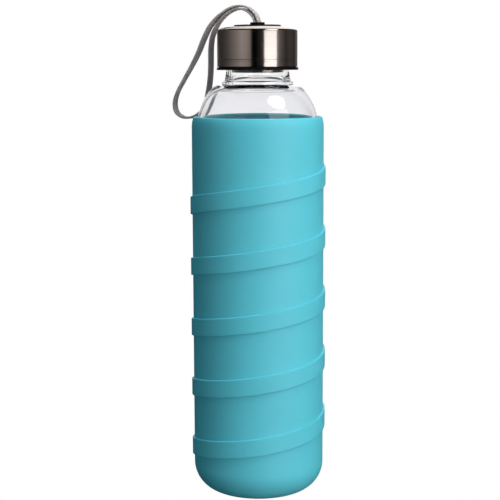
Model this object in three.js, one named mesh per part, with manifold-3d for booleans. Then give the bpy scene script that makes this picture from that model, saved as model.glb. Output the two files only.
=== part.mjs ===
// A one litre glass water bottle: a clear bottle in a moulded silicone sleeve with a helical grip band,
// closed by a steel-skinned screw cap with a woven wrist strap. Millimetres, +Z up, origin on the
// bottle's axis at the surface that it stands on. The wrist strap hangs over the -X side.
import * as THREE from 'three';
import { mergeVertices } from 'three/addons/utils/BufferGeometryUtils.js';
import Module from 'manifold-3d';

// ---- driving dimensions -------------------------------------------------------------------------
const GAP = 0.3; // clearance between neighbouring pieces
const SEGMENTS = 36; // facets round every turned piece, so all facets line up
const STEP = (2 * Math.PI) / SEGMENTS;

const SLEEVE_RADIUS = 41; // outside of the silicone wall
const SLEEVE_WALL = 3.15;
const SLEEVE_HEIGHT = 237.3;
const SLEEVE_BASE = 4.2; // thickness of the closed bottom
const BASE_CORNER_WIDE = 17.4; // the rounded bottom corner, across and up
const BASE_CORNER_HIGH = 18;
const BAND_PITCH = 38.5; // helical grip band, right-handed
const BAND_HEIGHT = 11.1;
const BAND_PROUD = 1.25;
const BAND_TOP_Z = 191.5; // middle of the highest front crossing, on -Y
const BAND_TURNS_BELOW = 4; // so the band crosses the front five times
const BAND_END_STEP = 15; // both ends lie behind, short of the +X and -X sides

const GLASS_RADIUS = SLEEVE_RADIUS - SLEEVE_WALL - GAP - 0.05;
const GLASS_WALL = 2.6;
const GLASS_BASE_Z = SLEEVE_BASE + GAP;
const GLASS_FLOOR_Z = GLASS_BASE_Z + 5;
const PUNT_RADIUS = 19; // shallow dome under the base
const PUNT_HEIGHT = 2;
const SHOULDER_Z = 233; // where the straight wall ends
const SHOULDER_TOP_Z = 256.9;
const NECK_RADIUS = 19.6; // also the root of the bottle's thread
const BORE_RADIUS = 16.4;
const BEAD_RADIUS = 22.3; // ring of glass between the shoulder and the neck
const BEAD_LOW_Z = 257.3;
const BEAD_HIGH_Z = 258.3;
const THROAT_Z = 258.6; // where the bore opens out into the shoulder
const MOUTH_Z = 278;
const LIP_CHAMFER = 0.8;

const CAP_RADIUS = 24.9; // outside of the steel skin
const CAP_BOTTOM_Z = 265.8;
const RIM_RADIUS = 25.2; // black flange under the steel skin
const RIM_HEIGHT = 1.6;
const STEEL = 0.5; // sheet thickness
const CROWN_Z = 292.2; // flat middle of the steel top
const CROWN_RADIUS = 14.8;
const DOME_EDGE_RADIUS = 20.3; // the steel top falls a little from the crown to here, then to the corner
const DOME_DROP = 0.3;
const SHELL_CORNER = 2;
const SHELL_CORNER_Z = 289;
const SHELL_CORNER_SWEEP = 65; // degrees
const LINER_RADIUS = CAP_RADIUS - STEEL - GAP - 0.05;
const LINER_BORE = 21.6;
const GASKET_HEIGHT = 1.2;
const WEB_Z = MOUTH_Z + GASKET_HEIGHT + 2 * GAP; // underside of the liner's top wall
const WEB_HEIGHT = 2;
const PLUG_RADIUS = 15.9;
const PLUG_BOTTOM_Z = 263.9;
const PLUG_WALL = 2;
const PLUG_CUP_RADIUS = 12.9; // the hollow in the plug
const RING_Z = 270.4; // plug seal ring
const RING_WIRE = 0.85;
const RING_MIDDLE_RADIUS = PLUG_RADIUS - 0.55;
const RING_GROOVE_RADIUS = PLUG_RADIUS - 1.7;

const THREAD_LEAD = 6; // single start, shared by bottle and cap
const THREAD_TURNS = 1.25;
const THREAD_ROOT_HEIGHT = 2.4;
const THREAD_CREST_HEIGHT = 1.2;
const THREAD_DEPTH = 1.6;
const THREAD_START_Z = 268.6; // middle of the bottle's ridge at its lower end
const THREAD_EMBED = 0.5; // how far a ridge is sunk in its wall
const THREAD_FADE_STEPS = 3;
const LINER_THREAD_STEP = 12; // the liner's ridge starts a third of a turn on from the bottle's

const DISC_RADIUS = 14.45;
const DISC_HEIGHT = 0.65;
const COLLAR_RADIUS = 4.5;
const COLLAR_HEIGHT = 1.65;
const STEM_RADIUS = 5.2;
const STEM_DROP = 4.2; // below the disc
const STEM_BOTTOM_Z = CROWN_Z + GAP - STEM_DROP;
const GROOVE_TOP_Z = CROWN_Z - STEEL - 0.05;
const GROOVE_DEPTH = 0.6;
const RETAINER_RADIUS = 8.6;
const RETAINER_HEIGHT = 0.8;

const STRAP_WIDTH = 5;
const STRAP_THICKNESS = 1.4;
const STRAP_SPACING = 2.1; // between the middles of the two strands in the collar
const STRAP_BEARING = 28; // degrees from -X towards +Y of the plane that the strap hangs in
const STRAP_STEPS = 84;
const SLOT_LONG = STRAP_WIDTH + 2 * GAP;
const SLOT_WIDE = STRAP_SPACING + STRAP_THICKNESS + 2 * GAP;
const FERRULE_BOTTOM_Z = 283;
const FERRULE_HEIGHT = 4;
const FERRULE_WALL = 0.8;

// The strap's route from one end to the other, in its hanging plane:
// [distance out from the axis, height, distance behind the plane, twist in degrees]
const STRAP_ROUTE = [
  [-1.05, 282.4, 0, 0], [-1.05, 288.5, 0, 0], [-1.05, 294.8, 0, 0], [0.3, 298.6, 0, 2],
  [3.6, 302.2, 0, 3], [8.0, 304.4, 0, 3], [13.3, 305.0, 0, 2], [18.9, 303.7, -0.2, 0],
  [23.9, 301.0, -0.4, 0], [29.0, 297.1, -0.7, 4], [33.2, 292.2, -1, 9], [36.9, 285.4, -1.4, 12],
  [40.8, 276.8, -1.8, 10], [45.9, 268.0, -2, 3], [51.9, 259.3, -1.6, -2], [57.1, 251.4, -1, -3],
  [59.4, 244.8, -0.4, 3], [58.4, 238.8, 0.4, 4], [53.4, 235.8, 1.2, 2], [47.9, 236.2, 2, 0],
  [42.6, 238.9, 2.6, -2], [38.8, 244.3, 2.8, -5], [36.8, 251.0, 2.6, -8], [35.3, 257.3, 2.2, -10],
  [34.3, 264.0, 1.8, -9], [33.8, 271.6, 1.4, -9], [33.4, 279.4, 1, -9], [32.0, 286.6, 0.6, -6],
  [28.4, 293.4, 0.3, -2], [23.9, 298.3, 0.1, 0], [18.6, 301.7, 0, 0], [13.5, 303.2, 0, 0],
  [8.9, 302.7, 0, 0], [4.8, 300.5, 0, 0], [2.0, 297.2, 0, 0], [1.05, 294.2, 0, 0], [1.05, 288.5, 0, 0],
  [1.05, 282.4, 0, 0],
];

const COLOURS = {
  silicone: { color: 0x5bb8c6, roughness: 0.5, metalness: 0 },
  glass: { color: 0xe8f1f2, roughness: 0.05, metalness: 0, transparent: true, opacity: 0.35 },
  steel: { color: 0x9c9792, roughness: 0.25, metalness: 1 },
  blackPlastic: { color: 0x101112, roughness: 0.4, metalness: 0 },
  seal: { color: 0xe6e4de, roughness: 0.6, metalness: 0 },
  webbing: { color: 0x9a908b, roughness: 0.9, metalness: 0 },
};

// ---- solids --------------------------------------------------------------------------------------
const wasm = await Module();
wasm.setup();

function toSolid(geometry) {
  const bare = geometry.clone();
  bare.deleteAttribute('normal');
  bare.deleteAttribute('uv');
  const merged = mergeVertices(bare, 1e-5);
  const mesh = new wasm.Mesh({
    numProp: 3,
    vertProperties: new Float32Array(merged.attributes.position.array),
    triVerts: new Uint32Array(merged.index.array),
  });
  return new wasm.Manifold(mesh);
}

function toGeometry(solid) {
  const mesh = solid.getMesh();
  const geometry = new THREE.BufferGeometry();
  geometry.setAttribute('position', new THREE.BufferAttribute(new Float32Array(mesh.vertProperties), 3));
  geometry.setIndex(new THREE.BufferAttribute(new Uint32Array(mesh.triVerts), 1));
  geometry.computeVertexNormals();
  return geometry;
}

// Turns an outline of [radius, height] points, which runs up the outside and back down the inside,
// about the Z axis.
function turned(outline) {
  const points = outline.map(([radius, height]) => new THREE.Vector2(radius, height));
  return new THREE.LatheGeometry(points, SEGMENTS).rotateX(Math.PI / 2);
}

function closed(outline) {
  return [...outline, outline[0]];
}

// Points on an elliptical arc, angles in degrees from the +radius direction.
function arc(centreR, centreZ, wide, high, from, to, steps) {
  return Array.from({ length: steps + 1 }, (_, i) => {
    const angle = THREE.MathUtils.degToRad(from + ((to - from) * i) / steps);
    return [centreR + wide * Math.cos(angle), centreZ + high * Math.sin(angle)];
  });
}

function bezier(a, b, c, d, steps) {
  const corners = [a, b, c, d].map(([radius, height]) => new THREE.Vector2(radius, height));
  return new THREE.CubicBezierCurve(...corners).getPoints(steps).map((point) => [point.x, point.y]);
}

// A straight bar one unit long, whose vertices place() then moves: it is given the section's two
// coordinates and how far along the bar the vertex lies, from 0 to 1.
function shapedBar(section, steps, place) {
  const shape = new THREE.Shape(section.map(([x, y]) => new THREE.Vector2(x, y)));
  const bar = new THREE.ExtrudeGeometry(shape, { depth: 1, steps, bevelEnabled: false });
  const position = bar.attributes.position;
  for (let i = 0; i < position.count; i += 1) {
    const moved = place(position.getX(i), position.getY(i), position.getZ(i));
    position.setXYZ(i, moved.x, moved.y, moved.z);
  }
  return bar;
}

// A ridge wound about Z. Section points are [height, radius]; the angle runs from -Y towards +X.
// Near its ends the ridge sinks towards sinkRadius over fade steps.
function helicalRidge({ section, lead, startZ, startStep, steps, sinkRadius, fade }) {
  return shapedBar(section, steps, (height, radius, along) => {
    const step = along * steps;
    const rise = Math.min(1, Math.min(step, steps - step) / fade + 0.15);
    const angle = (startStep + step) * STEP;
    const reach = sinkRadius + (radius - sinkRadius) * rise;
    return new THREE.Vector3(
      reach * Math.sin(angle), -reach * Math.cos(angle), startZ + (lead * step) / SEGMENTS + height,
    );
  });
}

// ---- sleeve --------------------------------------------------------------------------------------
function siliconeSleeve() {
  const innerRadius = SLEEVE_RADIUS - SLEEVE_WALL;
  const cornerR = SLEEVE_RADIUS - BASE_CORNER_WIDE;
  const innerWide = BASE_CORNER_WIDE - SLEEVE_WALL;
  const innerHigh = BASE_CORNER_HIGH - SLEEVE_BASE;
  const rimOuter = SLEEVE_RADIUS - 0.8; // the outside leans in a little at the rim
  const rimHalf = (rimOuter - innerRadius) / 2;
  const rimRound = 1.2;
  const recessRadius = 14;
  const recessDepth = 0.8;
  const wall = toSolid(turned([
    [0, recessDepth], [recessRadius, recessDepth], [recessRadius + recessDepth, 0],
    ...arc(cornerR, BASE_CORNER_HIGH, BASE_CORNER_WIDE, BASE_CORNER_HIGH, -90, 0, 5),
    [SLEEVE_RADIUS, SLEEVE_HEIGHT - 5],
    ...arc(rimOuter - rimHalf, SLEEVE_HEIGHT - rimRound, rimHalf, rimRound, 0, 180, 4),
    ...arc(cornerR, BASE_CORNER_HIGH, innerWide, innerHigh, 0, -90, 4),
    [0, SLEEVE_BASE],
  ]));

  const half = BAND_HEIGHT / 2;
  const bevel = 0.5;
  const root = SLEEVE_RADIUS - 1;
  const crest = SLEEVE_RADIUS + BAND_PROUD;
  const startStep = -BAND_TURNS_BELOW * SEGMENTS - BAND_END_STEP;
  const band = helicalRidge({
    section: [
      [-half, root], [half, root], [half, crest - bevel], [half - bevel, crest],
      [bevel - half, crest], [-half, crest - bevel],
    ],
    lead: BAND_PITCH,
    startZ: BAND_TOP_Z + (BAND_PITCH * startStep) / SEGMENTS,
    startStep,
    steps: BAND_END_STEP - startStep,
    sinkRadius: root,
    fade: 1,
  });
  return toGeometry(wall.add(toSolid(band)));
}

// ---- bottle --------------------------------------------------------------------------------------
function threadSection(rootRadius, crestRadius) {
  const wide = THREAD_ROOT_HEIGHT / 2;
  const narrow = THREAD_CREST_HEIGHT / 2;
  const corners = [[-wide, rootRadius], [wide, rootRadius], [narrow, crestRadius], [-narrow, crestRadius]];
  return crestRadius > rootRadius ? corners : corners.reverse();
}

function glassBottle() {
  const innerRadius = GLASS_RADIUS - GLASS_WALL;
  const cornerR = SLEEVE_RADIUS - BASE_CORNER_WIDE;
  const cornerWide = GLASS_RADIUS - cornerR;
  const innerCorner = 12;
  const punt = [
    [0, GLASS_BASE_Z + PUNT_HEIGHT], [PUNT_RADIUS * 0.7, GLASS_BASE_Z + PUNT_HEIGHT * 0.6],
    [PUNT_RADIUS, GLASS_BASE_Z],
  ];
  const shoulder = bezier(
    [GLASS_RADIUS, SHOULDER_Z], [GLASS_RADIUS, 244.5], [28.5, 257.2], [23.4, SHOULDER_TOP_Z], 7,
  );
  const bead = [[21.6, 256.4], [BEAD_RADIUS, BEAD_LOW_Z], [BEAD_RADIUS, BEAD_HIGH_Z], [20.9, 259.1]];
  const neck = [[20.1, 261.6], [NECK_RADIUS, 264.4]];
  const mouth = [
    [NECK_RADIUS, MOUTH_Z - LIP_CHAMFER], [NECK_RADIUS - LIP_CHAMFER, MOUTH_Z],
    [BORE_RADIUS + LIP_CHAMFER, MOUTH_Z], [BORE_RADIUS, MOUTH_Z - LIP_CHAMFER],
  ];
  const innerShoulder = bezier(
    [17.6, 255.4], [25.5, 255.2], [innerRadius, 244], [innerRadius, SHOULDER_Z - 1], 6,
  );
  const body = toSolid(turned([
    ...punt,
    ...arc(cornerR, BASE_CORNER_HIGH, cornerWide, BASE_CORNER_HIGH - GLASS_BASE_Z, -90, 0, 4),
    ...shoulder, ...bead, ...neck, ...mouth, [BORE_RADIUS, THROAT_Z], ...innerShoulder,
    ...arc(innerRadius - innerCorner, GLASS_FLOOR_Z + innerCorner, innerCorner, innerCorner, 0, -90, 4),
    [0, GLASS_FLOOR_Z + 1],
  ]));
  const ridge = helicalRidge({
    section: threadSection(NECK_RADIUS - THREAD_EMBED, NECK_RADIUS + THREAD_DEPTH),
    lead: THREAD_LEAD,
    startZ: THREAD_START_Z,
    startStep: 0,
    steps: THREAD_TURNS * SEGMENTS,
    sinkRadius: NECK_RADIUS - THREAD_EMBED,
    fade: THREAD_FADE_STEPS,
  });
  return toGeometry(body.add(toSolid(ridge)));
}

// ---- cap -----------------------------------------------------------------------------------------
function capLiner() {
  const rimTop = CAP_BOTTOM_Z + RIM_HEIGHT;
  const webTop = WEB_Z + WEB_HEIGHT;
  const grooveHalf = RING_WIRE + GAP;
  const chamfer = 1;
  const rimChamfer = 0.3;
  const body = toSolid(turned([
    [0, PLUG_BOTTOM_Z], [PLUG_RADIUS - chamfer, PLUG_BOTTOM_Z], [PLUG_RADIUS, PLUG_BOTTOM_Z + chamfer],
    [PLUG_RADIUS, RING_Z - grooveHalf], [RING_GROOVE_RADIUS, RING_Z - grooveHalf],
    [RING_GROOVE_RADIUS, RING_Z + grooveHalf], [PLUG_RADIUS, RING_Z + grooveHalf],
    [PLUG_RADIUS, WEB_Z], [LINER_BORE, WEB_Z], [LINER_BORE, CAP_BOTTOM_Z],
    [RIM_RADIUS - rimChamfer, CAP_BOTTOM_Z], [RIM_RADIUS, CAP_BOTTOM_Z + rimChamfer], [RIM_RADIUS, rimTop],
    [LINER_RADIUS, rimTop], [LINER_RADIUS, webTop], [PLUG_CUP_RADIUS, webTop],
    [PLUG_CUP_RADIUS, PLUG_BOTTOM_Z + PLUG_WALL], [0, PLUG_BOTTOM_Z + PLUG_WALL],
  ]));
  const startOnBottleRidge = THREAD_START_Z + (THREAD_LEAD * LINER_THREAD_STEP) / SEGMENTS;
  const ridge = helicalRidge({
    section: threadSection(LINER_BORE + THREAD_EMBED, LINER_BORE - THREAD_DEPTH),
    lead: THREAD_LEAD,
    startZ: startOnBottleRidge - THREAD_LEAD / 2, // it bears on the underside of the bottle's ridge
    startStep: LINER_THREAD_STEP,
    steps: SEGMENTS,
    sinkRadius: LINER_BORE + THREAD_EMBED,
    fade: THREAD_FADE_STEPS,
  });
  return toGeometry(body.add(toSolid(ridge)));
}

function capShell() {
  const skirtBottom = CAP_BOTTOM_Z + RIM_HEIGHT + GAP;
  const holeRadius = STEM_RADIUS + GAP;
  const inner = CAP_RADIUS - STEEL;
  const innerCorner = SHELL_CORNER - STEEL;
  const cornerR = CAP_RADIUS - SHELL_CORNER;
  const domeEdgeZ = CROWN_Z - DOME_DROP;
  return turned(closed([
    [inner, skirtBottom], [CAP_RADIUS, skirtBottom],
    ...arc(cornerR, SHELL_CORNER_Z, SHELL_CORNER, SHELL_CORNER, 0, SHELL_CORNER_SWEEP, 3),
    [DOME_EDGE_RADIUS, domeEdgeZ], [CROWN_RADIUS, CROWN_Z], [holeRadius, CROWN_Z],
    [holeRadius, CROWN_Z - STEEL], [CROWN_RADIUS, CROWN_Z - STEEL], [DOME_EDGE_RADIUS, domeEdgeZ - STEEL],
    ...arc(cornerR, SHELL_CORNER_Z, innerCorner, innerCorner, SHELL_CORNER_SWEEP, 0, 3),
  ]));
}

function mouthGasket() {
  const bottom = MOUTH_Z + GAP;
  return turned(closed([
    [PLUG_RADIUS + GAP, bottom], [LINER_BORE - GAP, bottom],
    [LINER_BORE - GAP, bottom + GASKET_HEIGHT], [PLUG_RADIUS + GAP, bottom + GASKET_HEIGHT],
  ]));
}

function plugSealRing() {
  const sides = 8;
  const wire = arc(RING_MIDDLE_RADIUS, RING_Z, RING_WIRE, RING_WIRE, 0, 360, sides);
  return turned(closed(wire.slice(0, sides)));
}

// ---- strap anchor --------------------------------------------------------------------------------
// A block square to the strap: wide across its two strands, long across its width.
function strapBlock(wide, long, bottom, height) {
  return new THREE.BoxGeometry(wide, long, height)
    .rotateZ(THREE.MathUtils.degToRad(-STRAP_BEARING))
    .translate(0, 0, bottom + height / 2);
}

function strapAnchor() {
  const discZ = CROWN_Z + GAP;
  const discTop = discZ + DISC_HEIGHT;
  const collarTop = discTop + COLLAR_HEIGHT;
  const chamfer = 0.3;
  const discBevel = 0.2;
  const grooveBottom = GROOVE_TOP_Z - RETAINER_HEIGHT - 2 * GAP;
  const grooveRadius = STEM_RADIUS - GROOVE_DEPTH;
  const body = toSolid(turned([
    [0, STEM_BOTTOM_Z], [STEM_RADIUS, STEM_BOTTOM_Z], [STEM_RADIUS, grooveBottom],
    [grooveRadius, grooveBottom], [grooveRadius, GROOVE_TOP_Z], [STEM_RADIUS, GROOVE_TOP_Z],
    [STEM_RADIUS, discZ], [DISC_RADIUS, discZ], [DISC_RADIUS, discTop - discBevel],
    [DISC_RADIUS - discBevel, discTop], [COLLAR_RADIUS, discTop], [COLLAR_RADIUS, collarTop - chamfer],
    [COLLAR_RADIUS - chamfer, collarTop], [0, collarTop],
  ]));
  const clear = 1; // the cutting block passes both ends of the anchor
  const slotHeight = collarTop - STEM_BOTTOM_Z + 2 * clear;
  const slot = strapBlock(SLOT_WIDE, SLOT_LONG, STEM_BOTTOM_Z - clear, slotHeight);
  return toGeometry(body.subtract(toSolid(slot)));
}

function retainingRing() {
  const top = GROOVE_TOP_Z - GAP;
  const bottom = top - RETAINER_HEIGHT;
  const bore = STEM_RADIUS - GROOVE_DEPTH / 2;
  return turned(closed([[bore, bottom], [RETAINER_RADIUS, bottom], [RETAINER_RADIUS, top], [bore, top]]));
}

// ---- wrist strap ---------------------------------------------------------------------------------
function inStrapPlane(out, height, behind) {
  const bearing = THREE.MathUtils.degToRad(STRAP_BEARING);
  return new THREE.Vector3(
    -out * Math.cos(bearing) + behind * Math.sin(bearing),
    out * Math.sin(bearing) + behind * Math.cos(bearing),
    height,
  );
}

function wristStrap() {
  const points = STRAP_ROUTE.map(([out, height, behind]) => inStrapPlane(out, height, behind));
  const route = new THREE.CatmullRomCurve3(points);
  const across = inStrapPlane(0, 0, 1);
  const last = STRAP_ROUTE.length - 1;
  const twistAt = (t) => {
    const index = Math.min(Math.floor(t * last), last - 1);
    const share = t * last - index;
    const degrees = STRAP_ROUTE[index][3] * (1 - share) + STRAP_ROUTE[index + 1][3] * share;
    return THREE.MathUtils.degToRad(degrees);
  };
  const half = STRAP_WIDTH / 2;
  const thick = STRAP_THICKNESS / 2;
  const edge = 0.5;
  const section = [
    [-half, edge - thick], [edge - half, -thick], [half - edge, -thick], [half, edge - thick],
    [half, thick - edge], [half - edge, thick], [edge - half, thick], [-half, thick - edge],
  ];
  return shapedBar(section, STRAP_STEPS, (x, y, along) => {
    const middle = route.getPointAt(along);
    const tangent = route.getTangentAt(along);
    const width = across.clone().applyAxisAngle(tangent, twistAt(route.getUtoTmapping(along)));
    width.addScaledVector(tangent, -width.dot(tangent)).normalize();
    const face = new THREE.Vector3().crossVectors(tangent, width);
    return middle.addScaledVector(width, x).addScaledVector(face, y);
  });
}

// A flattened metal tube crimped round both ends of the strap, too wide for the anchor's slot.
function strapFerrule() {
  const wide = SLOT_WIDE + 2 * FERRULE_WALL;
  const long = SLOT_LONG + 2 * FERRULE_WALL;
  const clear = 1;
  const outside = strapBlock(wide, long, FERRULE_BOTTOM_Z, FERRULE_HEIGHT);
  const hole = strapBlock(SLOT_WIDE, SLOT_LONG, FERRULE_BOTTOM_Z - clear, FERRULE_HEIGHT + 2 * clear);
  return toGeometry(toSolid(outside).subtract(toSolid(hole)));
}

// ---- assembly ------------------------------------------------------------------------------------
const PIECES = [
  ['silicone_sleeve', siliconeSleeve, COLOURS.silicone],
  ['glass_bottle', glassBottle, COLOURS.glass],
  ['mouth_gasket', mouthGasket, COLOURS.seal],
  ['cap_liner', capLiner, COLOURS.blackPlastic],
  ['plug_seal_ring', plugSealRing, COLOURS.seal],
  ['cap_shell', capShell, COLOURS.steel],
  ['strap_anchor', strapAnchor, COLOURS.blackPlastic],
  ['anchor_retaining_ring', retainingRing, COLOURS.steel],
  ['wrist_strap', wristStrap, COLOURS.webbing],
  ['strap_ferrule', strapFerrule, COLOURS.steel],
];

const bottle = new THREE.Group();
for (const [name, build, finish] of PIECES) {
  const mesh = new THREE.Mesh(build(), new THREE.MeshStandardMaterial(finish));
  mesh.name = name;
  bottle.add(mesh);
}

export default bottle;
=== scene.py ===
"""Looks of a glass water bottle in a silicone sleeve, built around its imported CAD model.

Metres, +Z up, the bottle's axis on Z. Angles round the bottle run from -Y, which faces the camera,
towards +X, and outlines are (radius, height) points that run up the outside and back down the inside.
"""
import math

import bpy
import numpy as np
from mathutils import Matrix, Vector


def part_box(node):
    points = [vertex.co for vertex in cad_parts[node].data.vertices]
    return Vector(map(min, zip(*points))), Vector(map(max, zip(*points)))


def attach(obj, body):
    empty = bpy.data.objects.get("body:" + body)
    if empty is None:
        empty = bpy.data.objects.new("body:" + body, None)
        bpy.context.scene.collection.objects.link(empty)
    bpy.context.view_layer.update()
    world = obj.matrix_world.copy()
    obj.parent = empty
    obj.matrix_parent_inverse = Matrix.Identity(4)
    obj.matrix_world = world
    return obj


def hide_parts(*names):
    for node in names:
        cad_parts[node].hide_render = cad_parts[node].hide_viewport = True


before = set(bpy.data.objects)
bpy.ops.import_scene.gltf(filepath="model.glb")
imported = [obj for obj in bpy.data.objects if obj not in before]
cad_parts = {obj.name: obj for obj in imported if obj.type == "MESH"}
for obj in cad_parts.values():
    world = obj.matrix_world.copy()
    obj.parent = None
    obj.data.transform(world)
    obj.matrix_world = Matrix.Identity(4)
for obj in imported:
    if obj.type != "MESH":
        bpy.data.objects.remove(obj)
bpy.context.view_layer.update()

MM = 0.001
TAU = 2 * math.pi

# ---- sizes: taken from the frame where the CAD model has them --------------------------------------
_, sleeve_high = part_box("silicone_sleeve")
glass_low, glass_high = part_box("glass_bottle")
liner_low, liner_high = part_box("cap_liner")
shell_low, shell_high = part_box("cap_shell")
anchor_low, anchor_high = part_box("strap_anchor")

BAND_PROUD = 1.25 * MM
BAND_HEIGHT = 11.1 * MM
BAND_PITCH = 38.5 * MM
BAND_TOP_Z = 191.5 * MM  # middle of its highest crossing of the front
BAND_END_ANGLE = math.radians(150)
BAND_TURNS_BELOW = 4
SLEEVE_RADIUS = sleeve_high.x - BAND_PROUD
SLEEVE_WALL = 3.15 * MM
SLEEVE_HEIGHT = sleeve_high.z
SLEEVE_BASE = 4.2 * MM
CORNER_WIDE = 17.4 * MM
CORNER_HIGH = 18 * MM

GLASS_RADIUS = glass_high.x
GLASS_WALL = 2.6 * MM
GLASS_BASE_Z = glass_low.z
GLASS_FLOOR_Z = GLASS_BASE_Z + 5 * MM
MOUTH_Z = glass_high.z
SHOULDER_Z = 233 * MM
SHOULDER_TOP_Z = 256.9 * MM
NECK_RADIUS = 19.6 * MM
BORE_RADIUS = 16.4 * MM
BEAD_RADIUS = 22.3 * MM

RIM_RADIUS = liner_high.x
RIM_HEIGHT = 1.6 * MM
LINER_RADIUS = 24.05 * MM
LINER_BORE = 21.6 * MM
PLUG_RADIUS = 15.9 * MM
PLUG_WALL = 2 * MM
CAP_BOTTOM_Z = 265.8 * MM
WEB_HEIGHT = 2 * MM
RING_Z = 270.4 * MM
RING_WIRE = 0.85 * MM

THREAD_LEAD = 6 * MM
THREAD_DEPTH = 1.6 * MM
THREAD_LOW_Z = 266.2 * MM
THREAD_START_Z = 268.6 * MM
THREAD_TURNS = 1.25
LINER_THREAD_ANGLE = TAU / 3  # the cap's thread starts a third of a turn on

STEEL = 0.5 * MM
SHELL_RADIUS = shell_high.x
SCRIBED_RINGS = [  # height, depth and half the width of each ring turned into the steel
    (270.7 * MM, 0.05 * MM, 0.1 * MM),
    (272.1 * MM, 0.12 * MM, 0.18 * MM),
]
CROWN_Z = shell_high.z
CROWN_RADIUS = 14.8 * MM

DISC_RADIUS = anchor_high.x
DISC_TOP_Z = anchor_high.z - 1.65 * MM
COLLAR_RADIUS = 4.5 * MM
STEM_RADIUS = 5.2 * MM
STEM_GROOVE = 0.6 * MM  # how deep the retaining ring's groove is
STEM_CLEARANCE = 0.3 * MM

STRAP_WIDTH = 5 * MM
STRAP_THICKNESS = 1.4 * MM
STRAP_BEARING = math.radians(28)  # its hanging plane, from -X towards +Y
SLOT_LONG = 5.6 * MM
SLOT_WIDE = 4.1 * MM

# The strap's route in its hanging plane, as in the CAD model, in millimetres and degrees:
# (distance out from the axis, height, distance behind the plane, twist)
STRAP_ROUTE = [
    (-1.05, 282.4, 0, 0), (-1.05, 288.5, 0, 0), (-1.05, 294.8, 0, 0), (0.3, 298.6, 0, 2),
    (3.6, 302.2, 0, 3), (8.0, 304.4, 0, 3), (13.3, 305.0, 0, 2), (18.9, 303.7, -0.2, 0),
    (23.9, 301.0, -0.4, 0), (29.0, 297.1, -0.7, 4), (33.2, 292.2, -1, 9), (36.9, 285.4, -1.4, 12),
    (40.8, 276.8, -1.8, 10), (45.9, 268.0, -2, 3), (51.9, 259.3, -1.6, -2), (57.1, 251.4, -1, -3),
    (59.4, 244.8, -0.4, 3), (58.4, 238.8, 0.4, 4), (53.4, 235.8, 1.2, 2), (47.9, 236.2, 2, 0),
    (42.6, 238.9, 2.6, -2), (38.8, 244.3, 2.8, -5), (36.8, 251.0, 2.6, -8), (35.3, 257.3, 2.2, -10),
    (34.3, 264.0, 1.8, -9), (33.8, 271.6, 1.4, -9), (33.4, 279.4, 1, -9), (32.0, 286.6, 0.6, -6),
    (28.4, 293.4, 0.3, -2), (23.9, 298.3, 0.1, 0), (18.6, 301.7, 0, 0), (13.5, 303.2, 0, 0),
    (8.9, 302.7, 0, 0), (4.8, 300.5, 0, 0), (2.0, 297.2, 0, 0), (1.05, 294.2, 0, 0), (1.05, 288.5, 0, 0),
    (1.05, 282.4, 0, 0),
]


# ---- outlines ---------------------------------------------------------------------------------------
def arc(centre_r, centre_z, wide, high, start, end, steps=14):
    """Points on an elliptical arc, angles in degrees from the +radius direction."""
    angles = np.radians(np.linspace(start, end, steps + 1))
    return [(centre_r + wide * math.cos(a), centre_z + high * math.sin(a)) for a in angles]


def bezier(a, b, c, d, steps=24):
    """Points on a cubic curve from a to d, drawn towards b and c on the way."""
    t = np.linspace(0, 1, steps + 1)[:, None]
    a, b, c, d = (np.array(p, float) for p in (a, b, c, d))
    points = (1 - t) ** 3 * a + 3 * (1 - t) ** 2 * t * b + 3 * (1 - t) * t ** 2 * c + t ** 3 * d
    return [tuple(p) for p in points]


def rounded(corners, closed=False, steps=5):
    """An outline from (radius, height) corners, in which a third number rounds its corner off."""
    count = len(corners)
    outline = []
    for i, corner in enumerate(corners):
        at = np.array(corner[:2], float)
        rounding = corner[2] if len(corner) > 2 else 0
        if not rounding or (not closed and i in (0, count - 1)):
            outline.append(tuple(at))
            continue
        before = np.array(corners[i - 1][:2], float) - at
        after = np.array(corners[(i + 1) % count][:2], float) - at
        sides = np.linalg.norm(before), np.linalg.norm(after)
        opening = math.acos(np.clip(np.dot(before, after) / (sides[0] * sides[1]), -1, 1))
        back = min(rounding / math.tan(opening / 2), 0.49 * min(sides))
        start = at + before / sides[0] * back
        end = at + after / sides[1] * back
        for t in np.linspace(0, 1, steps + 1):
            outline.append(tuple((1 - t) ** 2 * start + 2 * t * (1 - t) * at + t ** 2 * end))
    return outline


def rows(radius, low, high, steps):
    """A straight wall from one height to another, cut into rows."""
    return [(radius, z) for z in np.linspace(low, high, steps + 1)]


def flat_ring(node, bore, edge):
    """The section of a flat ring that fills its CAD node's box, with its edges rounded off."""
    low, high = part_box(node)
    return rounded([
        (bore, low.z, edge), (high.x, low.z, edge), (high.x, high.z, edge), (bore, high.z, edge),
    ], closed=True)


# ---- meshes -----------------------------------------------------------------------------------------
def round_points(radius, angle, height):
    """Points at an angle round the bottle, which runs from -Y towards +X."""
    radius, angle, height = np.broadcast_arrays(radius, angle, height)
    return np.stack([radius * np.sin(angle), -radius * np.cos(angle), height], axis=-1)


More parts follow.
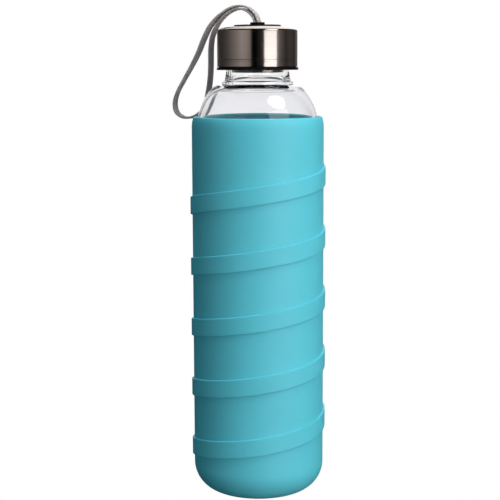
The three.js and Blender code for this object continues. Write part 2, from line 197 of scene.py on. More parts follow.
def skin(loops, ends):
    """Vertices and faces through rings of points. ends is joined, capped or poles."""
    loops = np.asarray(loops, float)
    count, around = loops.shape[:2]
    vertices = loops.reshape(-1, 3)
    j = np.arange(around)
    nxt = (j + 1) % around
    faces = []
    rings = range(count) if ends == "joined" else range(count - 1)
    for i in rings:
        low = i * around
        high = ((i + 1) % count) * around
        faces += np.stack([low + j, low + nxt, high + nxt, high + j], axis=1).tolist()
    if ends == "capped":
        faces.append(list(range(around))[::-1])
        faces.append([(count - 1) * around + k for k in range(around)])
    if ends == "poles":
        middle = len(vertices)
        vertices = np.vstack([vertices, loops[0].mean(0), loops[-1].mean(0)])
        faces += np.stack([np.full(around, middle), nxt, j], axis=1).tolist()
        last = (count - 1) * around
        faces += np.stack([last + j, last + nxt, np.full(around, middle + 1)], axis=1).tolist()
    return vertices, faces


def turned(outline, segments, relief=None):
    """Rings of an outline turned about Z. relief(angle, radius, height) is added to the radius."""
    angle = np.linspace(0, TAU, segments, endpoint=False)
    loops = []
    for radius, height in outline:
        raised = radius + (relief(angle, radius, height) if relief else 0)
        loops.append(round_points(raised, angle, height))
    return loops


def piece(name, shape, body, node, material, sharp=40):
    """Adds a mesh that rides on a body, stands for a CAD node and has a material slot's finish."""
    vertices, faces = shape
    mesh = bpy.data.meshes.new(name)
    mesh.from_pydata([tuple(v) for v in vertices], [], faces)
    mesh.validate()
    mesh.shade_smooth()
    mesh.set_sharp_from_angle(angle=math.radians(sharp))
    mesh.materials.append(material)
    made = bpy.data.objects.new(name, mesh)
    bpy.context.scene.collection.objects.link(made)
    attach(made, body)
    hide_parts(node)
    return made


def smoothstep(x):
    """0 below 0, 1 above 1, and a soft step between."""
    x = np.clip(x, 0, 1)
    return x * x * (3 - 2 * x)


def thread_height(angle, height, start_angle, start_z, turns):
    """How far a thread stands up, from 0 to 1, at each angle round one height."""
    half_root = 1.2 * MM
    half_crest = 0.5 * MM
    fade = math.radians(30)
    best = np.zeros_like(angle)
    for lap in range(3):
        wound = angle + lap * TAU - start_angle
        middle = start_z + THREAD_LEAD * wound / TAU
        slope = (half_root - np.abs(height - middle)) / (half_root - half_crest)
        ends = np.minimum(wound, turns * TAU - wound) / fade
        best = np.maximum(best, smoothstep(slope) * smoothstep(ends))
    return best


# ---- materials --------------------------------------------------------------------------------------
class Finish:
    """A material with its Principled shader and short ways to add texture nodes."""

    def __init__(self, name, **sockets):
        self.material = bpy.data.materials.new(name)
        self.material.use_nodes = True
        self.tree = self.material.node_tree
        self.shader = self.tree.nodes["Principled BSDF"]
        for socket, value in sockets.items():
            self.shader.inputs[socket.replace("_", " ")].default_value = value

    def node(self, kind, **settings):
        """Adds a shader node with its settings."""
        made = self.tree.nodes.new(kind)
        for name, value in settings.items():
            setattr(made, name, value)
        return made

    def link(self, start, end):
        self.tree.links.new(start, end)

    def coordinates(self, scale=(1, 1, 1)):
        """Object coordinates, which ride with the piece, stretched along each axis."""
        source = self.node("ShaderNodeTexCoord")
        mapping = self.node("ShaderNodeMapping")
        mapping.inputs["Scale"].default_value = scale
        self.link(source.outputs["Object"], mapping.inputs["Vector"])
        return mapping.outputs["Vector"]

    def noise(self, scale, detail=2.0, stretch=(1, 1, 1)):
        """Noise from 0 to 1, whose scale is about how many spots there are to a metre."""
        made = self.node("ShaderNodeTexNoise")
        made.inputs["Scale"].default_value = scale
        made.inputs["Detail"].default_value = detail
        self.link(self.coordinates(stretch), made.inputs["Vector"])
        return made.outputs["Fac"]

    def ramp(self, source, stops):
        """Colours from a value, given as (position, (r, g, b)) stops."""
        made = self.node("ShaderNodeValToRGB")
        elements = made.color_ramp.elements
        while len(elements) < len(stops):
            elements.new(0.5)
        for element, (position, colour) in zip(elements, stops):
            element.position = position
            element.color = (*colour, 1)
        self.link(source, made.inputs["Fac"])
        return made.outputs["Color"]

    def between(self, source, low, high):
        """A value spread from low to high as the source goes from 0.3 to 0.7."""
        made = self.node("ShaderNodeMapRange")
        made.inputs["From Min"].default_value = 0.3
        made.inputs["From Max"].default_value = 0.7
        made.inputs["To Min"].default_value = low
        made.inputs["To Max"].default_value = high
        self.link(source, made.inputs["Value"])
        return made.outputs["Result"]

    def bump(self, source, height, strength=1.0):
        """Adds surface relief of that height in metres, over any relief already there."""
        made = self.node("ShaderNodeBump")
        made.inputs["Strength"].default_value = strength
        made.inputs["Distance"].default_value = height
        self.link(source, made.inputs["Height"])
        normal = self.shader.inputs["Normal"]
        if normal.is_linked:
            self.link(normal.links[0].from_socket, made.inputs["Normal"])
        self.link(made.outputs["Normal"], normal)

    def colour(self, source):
        """Colours the surface from a node's output."""
        self.link(source, self.shader.inputs["Base Color"])

    def roughness(self, source):
        """Varies the roughness by a node's output."""
        self.link(source, self.shader.inputs["Roughness"])


def silicone():
    """Satin moulded silicone: fine mould grain, a little cloudy."""
    finish = Finish("teal_silicone", Roughness=0.5, IOR=1.42)
    finish.colour(finish.ramp(finish.noise(38, detail=3), [
        (0.25, (0.102, 0.585, 0.725)),
        (0.75, (0.114, 0.617, 0.760)),
    ]))
    finish.roughness(finish.between(finish.noise(120, detail=4), 0.48, 0.58))
    finish.bump(finish.noise(1500, detail=2), 0.02 * MM, 0.5)
    finish.bump(finish.noise(60, detail=1), 0.05 * MM, 0.25)
    return finish.material


def clear_glass():
    """Clear glass, a trace blue, whose blown surface is not quite even."""
    finish = Finish("clear_glass", Roughness=0.0, IOR=1.5, Transmission_Weight=1.0)
    finish.colour(finish.ramp(finish.noise(20, detail=1), [
        (0.3, (0.985, 0.985, 0.992)),
        (0.7, (0.992, 0.992, 0.998)),
    ]))
    finish.bump(finish.noise(45, detail=1), 0.03 * MM, 0.3)
    return finish.material


def brushed_steel():
    """Steel turned on a lathe: hairlines run round the cap and smear reflections up and down."""
    finish = Finish("brushed_steel", Metallic=1.0, Roughness=0.2, Anisotropic=0.85)
    finish.shader.inputs["Anisotropic Rotation"].default_value = 0.25
    tangent = finish.node("ShaderNodeTangent", direction_type="RADIAL", axis="Z")
    finish.link(tangent.outputs["Tangent"], finish.shader.inputs["Tangent"])
    hairlines = finish.noise(1, detail=3, stretch=(12, 12, 5200))
    finish.colour(finish.ramp(hairlines, [
        (0.3, (0.545, 0.480, 0.445)),
        (0.7, (0.625, 0.555, 0.520)),
    ]))
    finish.roughness(finish.between(finish.noise(1, detail=2, stretch=(30, 30, 2600)), 0.19, 0.22))
    finish.bump(hairlines, 0.004 * MM, 0.5)
    return finish.material


def plain_steel():
    """Stamped sheet, evenly dull."""
    finish = Finish("stamped_steel", Metallic=1.0, Roughness=0.35)
    grain = finish.noise(900, detail=3)
    finish.colour(finish.ramp(grain, [(0.3, (0.5, 0.5, 0.5)), (0.7, (0.64, 0.64, 0.63))]))
    finish.roughness(finish.between(grain, 0.28, 0.42))
    return finish.material


def black_plastic():
    """Moulded black plastic: fine grain and hardly any shine."""
    finish = Finish("black_plastic", Roughness=0.36, IOR=1.49, Specular_IOR_Level=0.08)
    finish.colour(finish.ramp(finish.noise(150, detail=2), [
        (0.3, (0.0035, 0.0035, 0.004)),
        (0.7, (0.007, 0.007, 0.008)),
    ]))
    finish.roughness(finish.between(finish.noise(400, detail=3), 0.3, 0.42))
    finish.bump(finish.noise(2200, detail=2), 0.01 * MM, 0.6)
    return finish.material


def seal_silicone():
    """Milky translucent silicone."""
    finish = Finish("seal_silicone", Roughness=0.55, IOR=1.42, Subsurface_Weight=0.3)
    finish.shader.inputs["Subsurface Scale"].default_value = 1 * MM
    finish.colour(finish.ramp(finish.noise(200), [(0.3, (0.70, 0.69, 0.66)), (0.7, (0.78, 0.77, 0.74))]))
    finish.bump(finish.noise(1800), 0.01 * MM, 0.5)
    return finish.material


def webbing():
    """Flat woven cord: crossing threads with loose fibres, and painted shade that darkens the grooves
    between the threads.
    """
    finish = Finish("woven_webbing", Roughness=0.85, Sheen_Weight=0.25, Sheen_Roughness=0.5)
    weave = finish.node("ShaderNodeUVMap", uv_map="weave")
    parts = finish.node("ShaderNodeSeparateXYZ")
    finish.link(weave.outputs["UV"], parts.inputs["Vector"])
    waves = []
    for axis in ("X", "Y"):
        sine = finish.node("ShaderNodeMath", operation="SINE")
        finish.link(parts.outputs[axis], sine.inputs[0])
        waves.append(sine.outputs["Value"])
    crossing = finish.node("ShaderNodeMath", operation="MULTIPLY_ADD")
    finish.link(waves[0], crossing.inputs[0])
    finish.link(waves[1], crossing.inputs[1])
    crossing.inputs[2].default_value = 1.0
    halved = finish.node("ShaderNodeMath", operation="MULTIPLY")
    finish.link(crossing.outputs["Value"], halved.inputs[0])
    halved.inputs[1].default_value = 0.5
    fibre = finish.noise(2600, detail=3)
    groove_shade_and_fibre = finish.node("ShaderNodeMath", operation="MULTIPLY_ADD")
    finish.link(fibre, groove_shade_and_fibre.inputs[0])
    groove_shade_and_fibre.inputs[1].default_value = 0.5
    finish.link(halved.outputs["Value"], groove_shade_and_fibre.inputs[2])
    # The ramp paints shade into the weave's grooves, where the crossing pattern is low, and adds random
    # fibre tone on top.
    finish.colour(finish.ramp(groove_shade_and_fibre.outputs["Value"], [
        (0.25, (0.185, 0.167, 0.170)),
        (0.65, (0.44, 0.405, 0.410)),
        (1.0, (0.68, 0.635, 0.640)),
    ]))
    finish.bump(fibre, 0.04 * MM, 0.6)
    return finish.material


SILICONE = silicone()
GLASS = clear_glass()
BRUSHED = brushed_steel()
STAMPED = plain_steel()
BLACK = black_plastic()
SEAL = seal_silicone()
WEBBING = webbing()


# ---- camera -----------------------------------------------------------------------------------------
def make_camera():
    """The camera stands level with the cap, about ten bottle widths away, and looks a little down."""
    sensor_width = 36  # in millimetres, as the focal length is
    focal_length = 94.64
    pitch = math.radians(7.973)
    roll = math.radians(-0.211)
    place = (-5.09 * MM, -819.3 * MM, 268.3 * MM)
    camera = bpy.data.objects.new("camera", bpy.data.cameras.new("camera"))
    camera.data.sensor_width = sensor_width
    camera.data.lens = focal_length
    camera.data.clip_start = 0.01
    camera.data.clip_end = 50
    look = Matrix.Rotation(math.pi / 2 - pitch, 4, "X") @ Matrix.Rotation(roll, 4, "Z")
    camera.matrix_world = Matrix.Translation(place) @ look
    bpy.context.scene.collection.objects.link(camera)
    bpy.context.scene.camera = camera
    bpy.context.scene.view_settings.view_transform = "Standard"


make_camera()


# ---- wrist strap ------------------------------------------------------------------------------------
def in_strap_plane(out, height, behind):
    """A point of the strap's hanging plane: out from the axis, up, and behind the plane."""
    across = math.cos(STRAP_BEARING), math.sin(STRAP_BEARING)
    return np.array([-out * across[0] + behind * across[1], out * across[1] + behind * across[0], height])


def strap_line(points, twists, spacing):
    """Evenly spaced points and twists on a centripetal Catmull-Rom curve through the route."""
    points = np.vstack([2 * points[0] - points[1], points, 2 * points[-1] - points[-2]])
    dense, twist = [], []
    share = np.linspace(0, 1, 60, endpoint=False)[:, None]
    for i in range(1, len(points) - 2):
        p0, p1, p2, p3 = points[i - 1:i + 3]
        d0, d1, d2 = (np.linalg.norm(b - a) ** 0.5 for a, b in ((p0, p1), (p1, p2), (p2, p3)))
        t1 = ((p1 - p0) / d0 - (p2 - p0) / (d0 + d1) + (p2 - p1) / d1) * d1
        t2 = ((p2 - p1) / d1 - (p3 - p1) / (d1 + d2) + (p3 - p2) / d2) * d1
        cubic = 2 * p1 - 2 * p2 + t1 + t2
        square = -3 * p1 + 3 * p2 - 2 * t1 - t2
        dense.append(cubic * share ** 3 + square * share ** 2 + t1 * share + p1)
        twist.append(twists[i - 1] + (twists[i] - twists[i - 1]) * share[:, 0])
    dense = np.vstack([*dense, points[-2]])
    twist = np.append(np.concatenate(twist), twists[-1])
    along = np.append(0, np.cumsum(np.linalg.norm(np.diff(dense, axis=0), axis=1)))
    even = np.linspace(0, along[-1], int(along[-1] / spacing) + 1)
    line = np.stack([np.interp(even, along, dense[:, k]) for k in range(3)], axis=1)
    return line, np.interp(even, along, twist), even


def wrist_strap():
    """One flat woven ribbon, whose crossing threads stand up from its faces."""
    route = [in_strap_plane(out, z, behind) * MM for out, z, behind, _ in STRAP_ROUTE]
    twists = np.radians([twist for *_, twist in STRAP_ROUTE])
    line, twist, along = strap_line(np.array(route), twists, 0.28 * MM)
    thread_width = STRAP_WIDTH / 5
    thread_pitch = 1.15 * MM
    relief = 0.085 * MM

    tangent = np.gradient(line, axis=0)
    tangent /= np.linalg.norm(tangent, axis=1, keepdims=True)
    plane_normal = in_strap_plane(0, 0, 1)
    width = plane_normal - tangent * (tangent @ plane_normal)[:, None]
    width /= np.linalg.norm(width, axis=1, keepdims=True)
    side = np.cross(tangent, width)
    width, side = (
        width * np.cos(twist)[:, None] + side * np.sin(twist)[:, None],
        side * np.cos(twist)[:, None] - width * np.sin(twist)[:, None],
    )

    half_width = STRAP_WIDTH / 2
    half_thick = STRAP_THICKNESS / 2 - relief
    edge = 0.45 * MM
    columns = 21
    flat = np.linspace(edge - half_width, half_width - edge, columns)
    bend = np.radians([22, 45, 68, 90, 112, 135, 158])
    edge_x = half_width - edge + edge * np.sin(bend)
    edge_y = half_thick * np.cos(bend)
    x = np.concatenate([flat, edge_x, flat[::-1], -edge_x])
    y = np.concatenate([np.full(columns, half_thick), edge_y, np.full(columns, -half_thick), -edge_y])
    column = math.pi * x / thread_width + math.pi / 2
    row = math.pi * along / thread_pitch
    raised = relief * np.sin(column)[None, :] * np.sin(row)[:, None]
    face = y / half_thick
    loops = (
        line[:, None, :]
        + width[:, None, :] * x[None, :, None]
        + side[:, None, :] * (y[None, :] + raised * face[None, :])[:, :, None]
    )
    made = piece("wrist_strap_ribbon", skin(loops, "capped"), "strap", "wrist_strap", WEBBING, 70)
    layer = made.data.uv_layers.new(name="weave")
    grid = np.stack(np.broadcast_arrays(column[None, :], row[:, None]), axis=-1).reshape(-1, 2)
    corners = np.empty(len(made.data.loops), int)
    made.data.loops.foreach_get("vertex_index", corners)
    layer.data.foreach_set("uv", grid[corners].ravel())
    return made


def slot_loop(long, wide, height, around):
    """A rounded rectangle round the strap, at one height, anticlockwise from above."""
    power = 0.3  # 1 would make an ellipse, and 0 sharp corners
    turn = np.linspace(0, TAU, around, endpoint=False)
    x = long / 2 * np.sign(np.cos(turn)) * np.abs(np.cos(turn)) ** power
    y = wide / 2 * np.sign(np.sin(turn)) * np.abs(np.sin(turn)) ** power
    lengthwise = in_strap_plane(0, 0, 1)
    sideways = in_strap_plane(-1, 0, 0)
    loop = (x[:, None] * lengthwise + y[:, None] * sideways)[::-1]
    loop[:, 2] = height
    return loop


def strap_ferrule():
    """A flattened steel tube crimped round both ends of the strap."""
    low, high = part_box("strap_ferrule")
    wall = 0.8 * MM
    edge = 0.15 * MM
    sizes = [
        (0, low.z + edge), (edge, low.z), (wall - edge, low.z), (wall, low.z + edge),
        (wall, high.z - edge), (wall - edge, high.z), (edge, high.z), (0, high.z - edge),
    ]
    loops = [slot_loop(SLOT_LONG + 2 * out, SLOT_WIDE + 2 * out, z, 64) for out, z in sizes]
    return piece(
        "strap_ferrule_tube", skin(loops, "joined"), "strap", "strap_ferrule", STAMPED, 30,
    )


strap_ferrule()
wrist_strap()


# ---- strap anchor -----------------------------------------------------------------------------------
def strap_anchor():
    """Moulded disc, collar and pin in one, with the strap's slot right through."""
    around = 128
    edge = 0.3 * MM
    collar_edge = 0.15 * MM
    slots = [
        (2 * edge, anchor_low.z), (edge, anchor_low.z + edge), (edge, anchor_high.z - 2 * edge),
        (1.6 * edge, anchor_high.z - 0.6 * edge), (2.6 * edge, anchor_high.z),
    ]
    loops = [slot_loop(SLOT_LONG - 2 * edge + 2 * out, SLOT_WIDE - 2 * edge + 2 * out, z, around)
             for out, z in slots[::-1]]
    groove_radius = STEM_RADIUS - STEM_GROOVE
    groove_high = CROWN_Z - STEEL - 0.05 * MM
    groove_low = CROWN_Z - STEEL - 1.45 * MM
    disc_low = CROWN_Z + 0.3 * MM
    start = math.atan2(loops[0][0][0], -loops[0][0][1])
    outline = rounded([
        (groove_radius, anchor_low.z),
        (STEM_RADIUS, anchor_low.z, edge),
        (STEM_RADIUS, groove_low),
        (groove_radius, groove_low),
        (groove_radius, groove_high),
        (STEM_RADIUS, groove_high),
        (STEM_RADIUS, disc_low),
        (DISC_RADIUS, disc_low, 0.08 * MM),
        (DISC_RADIUS, DISC_TOP_Z, collar_edge),
        (COLLAR_RADIUS, DISC_TOP_Z, collar_edge),
        (COLLAR_RADIUS, anchor_high.z, collar_edge),
        (COLLAR_RADIUS - edge, anchor_high.z),
    ])
    angle = start + np.linspace(0, TAU, around, endpoint=False)
    loops += [round_points(radius, angle, height) for radius, height in outline]
    return piece(
        "strap_anchor_moulding", skin(loops, "joined"), "strap", "strap_anchor", BLACK, 35,
    )


def retaining_ring():
    """A stamped ring that sits half in the pin's groove, under the steel."""
    outline = flat_ring("anchor_retaining_ring", STEM_RADIUS - STEM_GROOVE / 2, 0.12 * MM)
    return piece(
        "retaining_ring_stamping", skin(turned(outline, 96), "joined"),
        "strap", "anchor_retaining_ring", STAMPED,
    )


# ---- cap --------------------------------------------------------------------------------------------
def cap_shell():
    """Drawn steel skin: soft top corner, low dome, two scribed rings, hemmed lower edge."""
    inner = SHELL_RADIUS - STEEL
    hole = STEM_RADIUS + STEM_CLEARANCE
    hem = 0.22 * MM
    groove_edge = 0.03 * MM
    hole_edge = 0.1 * MM
    edge_z = CROWN_Z - 2 * MM
    slope_end = 20.3 * MM
    slope_end_z = CROWN_Z - 0.3 * MM
    slope_soft = 6 * MM
    crown_soft = 3 * MM

    scribed = []
    for height, depth, half in SCRIBED_RINGS:
        scribed += [
            (SHELL_RADIUS, height - half, groove_edge),
            (SHELL_RADIUS - depth, height, groove_edge),
            (SHELL_RADIUS, height + half, groove_edge),
        ]
    outline = rounded([
        (inner, shell_low.z, hem),
        (SHELL_RADIUS, shell_low.z, hem),
        *scribed,
        (SHELL_RADIUS, edge_z, 1.6 * MM),
        (slope_end, slope_end_z, slope_soft),
        (CROWN_RADIUS, CROWN_Z, crown_soft),
        (hole, CROWN_Z, hole_edge),
        (hole, CROWN_Z - STEEL, hole_edge),
        (CROWN_RADIUS, CROWN_Z - STEEL, crown_soft),
        (slope_end, slope_end_z - STEEL, slope_soft),
        (inner, edge_z - STEEL, 1.1 * MM),
    ], closed=True, steps=8)
    return piece(
        "cap_shell_skin", skin(turned(outline, 256), "joined"),
        "cap", "cap_shell", BRUSHED, 25,
    )


def cap_liner():
    """Black moulding: rim flange, threaded skirt, top wall and the cup-shaped plug."""
    web_low = liner_high.z - WEB_HEIGHT
    rim_top = CAP_BOTTOM_Z + RIM_HEIGHT
    cup = PLUG_RADIUS - PLUG_WALL - 1 * MM
    groove = PLUG_RADIUS - 1.7 * MM
    groove_half = RING_WIRE + 0.3 * MM
    soft = 0.25 * MM
    lead_in = 0.3 * MM
    start_z = THREAD_START_Z + THREAD_LEAD * LINER_THREAD_ANGLE / TAU - THREAD_LEAD / 2

    def relief(angle, radius, height):
        if abs(radius - LINER_BORE) > 1e-6:
            return 0
        return -THREAD_DEPTH * thread_height(angle, height, LINER_THREAD_ANGLE, start_z, 1.0)

    outline = [
        *rounded([
            (0, liner_low.z),
            (PLUG_RADIUS, liner_low.z, 0.4 * MM),
            (PLUG_RADIUS, RING_Z - groove_half, soft),
            (groove, RING_Z - groove_half, soft),
            (groove, RING_Z + groove_half, soft),
            (PLUG_RADIUS, RING_Z + groove_half, soft),
            (PLUG_RADIUS, web_low, soft),
            (LINER_BORE - lead_in, web_low),
        ]),
        *rows(LINER_BORE, web_low - lead_in, CAP_BOTTOM_Z + lead_in, 60),
        *rounded([
            (LINER_BORE + lead_in, CAP_BOTTOM_Z),
            (RIM_RADIUS, CAP_BOTTOM_Z, 0.35 * MM),
            (RIM_RADIUS, rim_top, 0.3 * MM),
            (LINER_RADIUS, rim_top, 0.1 * MM),
            (LINER_RADIUS, liner_high.z, 0.5 * MM),
            (cup, liner_high.z, soft),
            (cup, liner_low.z + PLUG_WALL, 1 * MM),
            (0, liner_low.z + PLUG_WALL),
        ]),
    ]
    return piece(
        "cap_liner_moulding", skin(turned(outline, 192, relief), "poles"),
        "cap", "cap_liner", BLACK, 35,
    )


def mouth_gasket():
    """The flat gasket round the plug, between the glass lip and the cap."""
    outline = flat_ring("mouth_gasket", PLUG_RADIUS + 0.3 * MM, 0.35 * MM)
    return piece(
        "mouth_gasket_ring", skin(turned(outline, 128), "joined"),
        "seal", "mouth_gasket", SEAL,
    )


def plug_seal_ring():
    """A round-section ring, sunk in the plug's groove."""
    outline = arc(PLUG_RADIUS - 0.55 * MM, RING_Z, RING_WIRE, RING_WIRE, 0, 345, 23)
    return piece(
        "plug_seal_o_ring", skin(turned(outline, 128), "joined"),
        "cap", "plug_seal_ring", SEAL,
    )


# ---- glass ------------------------------------------------------------------------------------------
def glass_bottle():
    """Blown glass: domed punt, round corner, long shoulder, bead and threaded neck."""
    inner_radius = GLASS_RADIUS - GLASS_WALL
    corner_r = SLEEVE_RADIUS - CORNER_WIDE
    inner_corner = 12 * MM
    punt_radius = 19 * MM
    punt_z = GLASS_BASE_Z + 2.2 * MM
    lip = 1.1 * MM
    lip_z = MOUTH_Z - 1.4 * MM
    throat_foot = (21.5 * MM, 255.0 * MM)

    def relief(angle, radius, height):
        if radius != NECK_RADIUS or height < THREAD_LOW_Z:
            return 0
        return THREAD_DEPTH * thread_height(angle, height, 0, THREAD_START_Z, THREAD_TURNS)

    punt = bezier(
        (0, punt_z), (9 * MM, punt_z),
        (punt_radius - 5 * MM, GLASS_BASE_Z), (punt_radius, GLASS_BASE_Z), 12,
    )
    base_corner = arc(
        corner_r, CORNER_HIGH, GLASS_RADIUS - corner_r, CORNER_HIGH - GLASS_BASE_Z, -90, 0, 20,
    )
    shoulder = bezier(
        (GLASS_RADIUS, SHOULDER_Z), (GLASS_RADIUS, 244.5 * MM), (28.5 * MM, 257.2 * MM),
        (23.6 * MM, SHOULDER_TOP_Z), 48,
    )
    bead = rounded([
        (23.2 * MM, SHOULDER_TOP_Z - 0.02 * MM),
        (21.5 * MM, 256.3 * MM, 0.5 * MM),
        (BEAD_RADIUS, 257.1 * MM, 0.5 * MM),
        (BEAD_RADIUS, 258.6 * MM, 0.6 * MM),
        (20.7 * MM, 259.2 * MM, 1.0 * MM),
        (19.95 * MM, 262.2 * MM, 3 * MM),
        (NECK_RADIUS, 264.6 * MM, 2 * MM),
        (NECK_RADIUS, 265.4 * MM),
    ], steps=8)
    mouth = rounded([
        (NECK_RADIUS, lip_z),
        (NECK_RADIUS, MOUTH_Z, lip),
        (BORE_RADIUS, MOUTH_Z, lip),
        (BORE_RADIUS, lip_z),
    ], steps=8)
    throat = rounded([
        (BORE_RADIUS, 260.2 * MM),
        (BORE_RADIUS, 255.3 * MM, 2.2 * MM),
        throat_foot,
    ], steps=10)
    inner_shoulder = bezier(
        throat_foot, (27.9 * MM, 254.6 * MM), (inner_radius, 243.9 * MM),
        (inner_radius, SHOULDER_Z - 1 * MM), 40,
    )
    floor_corner = arc(
        inner_radius - inner_corner, GLASS_FLOOR_Z + inner_corner, inner_corner, inner_corner, 0, -90, 16,
    )
    outline = [
        *punt, *base_corner, *shoulder, *bead,
        *rows(NECK_RADIUS, THREAD_LOW_Z, MOUTH_Z - 1.8 * MM, 60), *mouth,
        *throat, *inner_shoulder[1:], *floor_corner, (0, GLASS_FLOOR_Z + 1.2 * MM),
    ]
    return piece(
        "glass_bottle_blown", skin(turned(outline, 256, relief), "poles"),
        "glass", "glass_bottle", GLASS, 60,
    )


# ---- sleeve -----------------------------------------------------------------------------------------
def sleeve_wall():
    """The moulded cup: foot ring round a stepped recess, round corner, rim that leans in."""
    inner_radius = SLEEVE_RADIUS - SLEEVE_WALL
    corner_r = SLEEVE_RADIUS - CORNER_WIDE
    recess = 0.8 * MM
    step = 0.4 * MM
    rim_round = 1.15 * MM
    rim_lean = 0.85 * MM
    wall_low = CORNER_HIGH + 5 * MM
    foot = rounded([
        (0, recess),
        (7.5 * MM, recess, 0.1 * MM), (7.8 * MM, recess + step, 0.1 * MM),
        (9.0 * MM, recess + step, 0.1 * MM), (9.3 * MM, recess, 0.1 * MM),
        (14.0 * MM, recess, 0.3 * MM), (14.9 * MM, 0, 0.4 * MM),
        (corner_r - 0.5 * MM, 0),
    ])
    lean = bezier(
        (SLEEVE_RADIUS, SLEEVE_HEIGHT - 7 * MM), (SLEEVE_RADIUS, SLEEVE_HEIGHT - 4 * MM),
        (SLEEVE_RADIUS - 0.45 * MM, SLEEVE_HEIGHT - 2.2 * MM),
        (SLEEVE_RADIUS - rim_lean, SLEEVE_HEIGHT - rim_round), 14,
    )
    rim_half = (SLEEVE_WALL - rim_lean) / 2
    rim = arc(inner_radius + rim_half, SLEEVE_HEIGHT - rim_round, rim_half, rim_round, 0, 180, 16)
    outline = [
        *foot, *arc(corner_r, CORNER_HIGH, CORNER_WIDE, CORNER_HIGH, -90, 0, 30),
        *rows(SLEEVE_RADIUS, wall_low, SLEEVE_HEIGHT - 12 * MM, 20),
        *lean, *rim[1:],
        *rows(inner_radius, SLEEVE_HEIGHT - 8 * MM, wall_low, 12),
        *arc(corner_r, CORNER_HIGH, CORNER_WIDE - SLEEVE_WALL, CORNER_HIGH - SLEEVE_BASE, 0, -90, 16),
        (0, SLEEVE_BASE),
    ]
    return piece(
        "sleeve_wall_moulding", skin(turned(outline, 256), "poles"),
        "sleeve", "silicone_sleeve", SILICONE, 40,
    )


def grip_band():
    """The helical band: soft shoulders, small fillets where it grows out of the wall, round ends."""
    half = BAND_HEIGHT / 2
    start = -BAND_TURNS_BELOW * TAU - BAND_END_ANGLE
    angle = np.linspace(start, BAND_END_ANGLE, 1000)
    middle = BAND_TOP_Z + BAND_PITCH * angle / TAU
    slant = math.hypot(SLEEVE_RADIUS, BAND_PITCH / TAU)
    to_end = np.minimum(angle - start, BAND_END_ANGLE - angle) * slant
    inside = np.clip(half - to_end, 0, half)
    spread = np.sqrt(np.maximum(half ** 2 - inside ** 2, (0.03 * half) ** 2))
    corner = rounded([
        (0.25 * MM, -0.1 * MM), (0.03 * MM, 0.0, 0.15 * MM),
        (-0.02 * MM, BAND_PROUD, 0.85 * MM), (-2.2 * MM, BAND_PROUD),
    ], steps=7)
    lower = [(-1, out, rise) for out, rise in corner]
    upper = [(1, out, rise) for out, rise in corner[::-1]]
    root = [(side, 0.3 * MM, -1 * MM) for side in (1, -1)]
    loops = []
    for side, out, rise in lower + upper + root:
        reach = np.maximum(spread + out * spread / half, 0)
        radius = SLEEVE_RADIUS + rise
        loops.append(round_points(radius, angle, middle + side * reach))
    rings = np.array(loops).transpose(1, 0, 2)[:, ::-1]
    return piece(
        "sleeve_grip_band", skin(rings, "capped"), "sleeve", "silicone_sleeve", SILICONE, 50,
    )


for build in (
    strap_anchor, retaining_ring, cap_shell, cap_liner, mouth_gasket, plug_seal_ring,
    glass_bottle, sleeve_wall, grip_band,
):
    build()


# ---- floor and light --------------------------------------------------------------------------------
def glowing(name, strength):
    """A white stage finish that only glows, and neither scatters nor reflects light."""
    finish = Finish(name, Roughness=1.0, Specular_IOR_Level=0.0, Emission_Strength=strength)
    finish.shader.inputs["Base Color"].default_value = (0, 0, 0, 1)
    finish.shader.inputs["Emission Color"].default_value = (1, 1, 1, 1)
    return finish


def stage_piece(name, vertices, faces, finish, *unseen_by):
    """A part of the stage. unseen_by are the kinds of ray that pass it by."""
    mesh = bpy.data.meshes.new(name)
    mesh.from_pydata(vertices, [], faces)
    mesh.materials.append(finish.material)
    made = bpy.data.objects.new(name, mesh)
    bpy.context.scene.collection.objects.link(made)
    for ray in unseen_by:
        setattr(made, "visible_" + ray, False)
    return made


def glow_wall(name, radius, top, tint, unseen_by, brightness):
    """An upright glowing wall all round. brightness is (degrees from the camera's side to +X, level)."""
    finish = glowing(name + "_glow", 1.0)
    around = finish.node("ShaderNodeUVMap", uv_map="around")
    parts = finish.node("ShaderNodeSeparateXYZ")
    finish.link(around.outputs["UV"], parts.inputs["Vector"])
    glow = finish.ramp(parts.outputs["X"], [
        ((angle + 180) / 360, tuple(level * share for share in tint)) for angle, level in brightness
    ])
    finish.link(glow, finish.shader.inputs["Emission Color"])

    steps = 180
    angles = np.linspace(-math.pi, math.pi, steps + 1)
    wall = np.vstack([round_points(radius, angles, 0), round_points(radius, angles, top)])
    faces = [(i, i + 1, steps + 2 + i, steps + 1 + i) for i in range(steps)]
    made = stage_piece(name, wall.tolist(), faces, finish, "camera", "diffuse", "shadow", unseen_by)
    layer = made.data.uv_layers.new(name="around")
    for i in range(steps):
        for corner, share in zip(made.data.polygons[i].loop_indices, (i, i + 1, i + 1, i)):
            layer.data[corner].uv = (share / steps, 0.5)


def make_walls():
    """Soft dim panels that only reflections show, and a white wall that only shows through glass."""
    glow_wall("reflector_ring", 1.7, 1.5, (1.0, 0.94, 0.90), "transmission", [
        (-180, 0.10), (-150, 0.05), (-120, 0.045), (-103, 0.08), (-90, 0.12), (-65, 0.27), (-45, 0.45),
        (-30, 0.38), (-21, 0.27), (-16.5, 0.0), (-6, 0.0), (0, 0.012), (15, 0.035), (19, 0.0), (54, 0.0),
        (56, 0.30), (66, 0.16), (86, 0.045), (106, 0.075), (128, 0.04), (146, 0.16), (180, 0.4),
    ])
    glow_wall("glass_wall", 2.2, 4.0, (0.975, 0.975, 1.0), "glossy", [
        (-180, 1.0), (-120, 1.0), (-90, 0.75), (-60, 0.4),
        (60, 0.4), (90, 0.65), (130, 0.8), (150, 1.0), (180, 1.0),
    ])


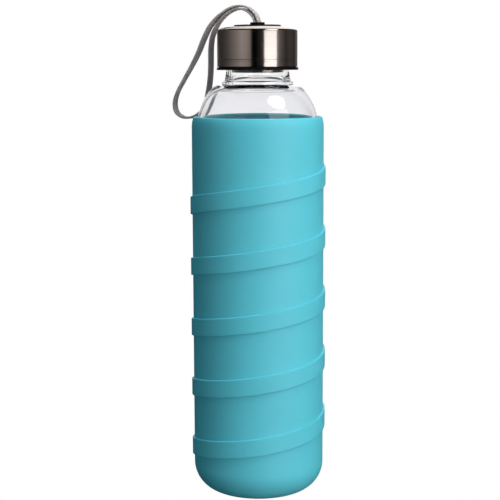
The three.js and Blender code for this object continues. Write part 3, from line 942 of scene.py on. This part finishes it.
def make_floor():
    """The white floor, and a backdrop that only reflections show.

    The backdrop also stands in front of the lower part of back_fill, and dims it.
    """
    reach = 8
    stage_piece(
        "floor", [(-reach, -reach, 0), (reach, -reach, 0), (reach, reach, 0), (-reach, reach, 0)],
        [(0, 1, 2, 3)], glowing("floor_white", 1.0), "diffuse", "glossy", "shadow",
    )
    left, right, near, top = -0.45, 0.8, 1.6, 3.0
    stage_piece(
        "backdrop", [(left, near, 0), (right, near, 0), (right, near, top), (left, near, top)],
        [(0, 1, 2, 3)], glowing("backdrop_white", 1.5), "camera", "diffuse", "transmission",
    )


def softbox(
    name, azimuth, elevation, distance, width, height, radiance,
    target=(0, 0, 0.2), round_face=False, reflected=True, in_glass=True, tint=(1, 1, 1),
):
    """An area light aimed at the bottle. Azimuth runs from the camera's side towards +X."""
    light = bpy.data.lights.new(name, "AREA")
    light.shape = "ELLIPSE" if round_face else "RECTANGLE"
    light.size = width
    light.size_y = height
    area = width * height * (math.pi / 4 if round_face else 1)
    light.energy = radiance * math.pi * area
    light.color = tint
    made = bpy.data.objects.new(name, light)
    a, e = math.radians(azimuth), math.radians(elevation)
    away = np.array([math.sin(a) * math.cos(e), -math.cos(a) * math.cos(e), math.sin(e)])
    place = np.array(target) + away * distance
    facing = Matrix.Rotation(a, 4, "Z") @ Matrix.Rotation(math.pi / 2 - e, 4, "X")
    made.matrix_world = Matrix.Translation(place) @ facing
    made.visible_glossy = reflected
    made.visible_transmission = in_glass
    made.visible_camera = False
    bpy.context.scene.collection.objects.link(made)


def make_world():
    """The white that the camera sees past everything. It lights nothing."""
    world = bpy.data.worlds.new("studio")
    world.use_nodes = True
    background = world.node_tree.nodes["Background"]
    background.inputs["Color"].default_value = (1, 1, 1, 1)
    background.inputs["Strength"].default_value = 1.0
    for ray in ("diffuse", "glossy", "transmission", "scatter"):
        setattr(world.cycles_visibility, ray, False)
    bpy.context.scene.world = world


def make_lights():
    """The studio's lamps: azimuth, elevation, distance, width, height and brightness of each."""
    shoulder = (0.011, -0.032, 0.247)
    waist = (0, 0, 0.12)
    softbox("key_card", 37, 0, 1.3, 0.86, 0.7, 2.15)
    softbox("round_key", 52.3, 48.9, 1.1, 0.6, 0.6, 4.0, target=shoulder, round_face=True)
    softbox("fill", 44, 12, 1.6, 1.2, 1.2, 3.15, waist, reflected=False, tint=(1.0, 0.92, 0.86))
    softbox(
        "left_fill", -80, 8, 1.6, 1.2, 1.2, 1.0, waist,
        reflected=False, in_glass=False, tint=(0.66, 0.95, 1.0),
    )
    softbox("back_fill", 175, 20, 1.8, 1.4, 1.4, 2.4, waist, reflected=False, in_glass=False)
    softbox("overhead", 10, 80, 1.5, 0.9, 0.9, 4.5, waist, reflected=False, in_glass=False)
    softbox("floor_bounce", 10, -25, 1.2, 1.2, 0.8, 0.6, waist, reflected=False, in_glass=False)


make_floor()
make_walls()
make_world()
make_lights()
